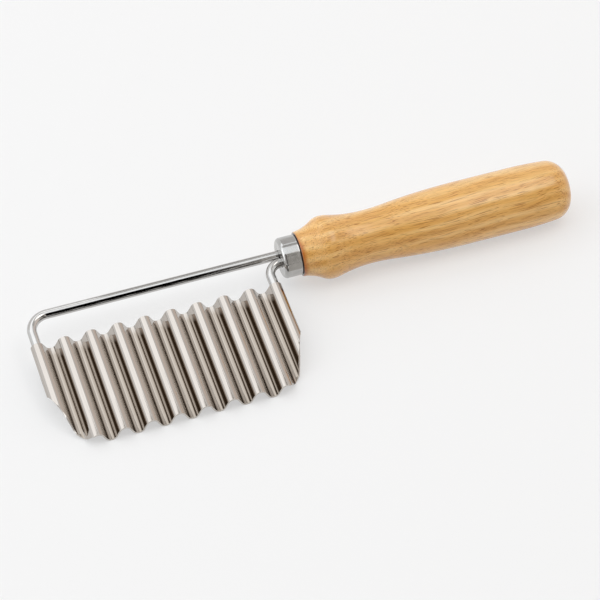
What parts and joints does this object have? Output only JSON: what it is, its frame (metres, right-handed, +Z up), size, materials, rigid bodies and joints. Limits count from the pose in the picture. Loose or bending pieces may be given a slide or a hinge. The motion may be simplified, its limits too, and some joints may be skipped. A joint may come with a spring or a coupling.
{
  "type": "soap cutter",
  "caption": "Hand cutter with a wavy steel blade rolled onto a round wire frame, set in a turned wooden handle with a metal ferrule.",
  "frame": {"origin": "on the table, below the middle of the whole outline, with the cutter lying at rest on its handle and on its cutting edge", "axes": "+X along the handle's axis towards the butt, +Z up from the table, +Y from the cutting edge towards the spine wire"},
  "size_m": [0.2368, 0.0774, 0.0269],
  "materials": {
    "wood": "clear gloss lacquer",
    "ferrule_metal": "bright plated",
    "wire_steel": "bright drawn and plated",
    "blade_steel": "polished along the waves",
    "glue": "set glue"
  },
  "bodies": {
    "root": {"handle": "wood", "ferrule": "ferrule_metal", "tang_glue": "glue", "spine_wire": "wire_steel", "heel_wire": "wire_steel", "blade": "blade_steel"}
  },
  "joints": []
}
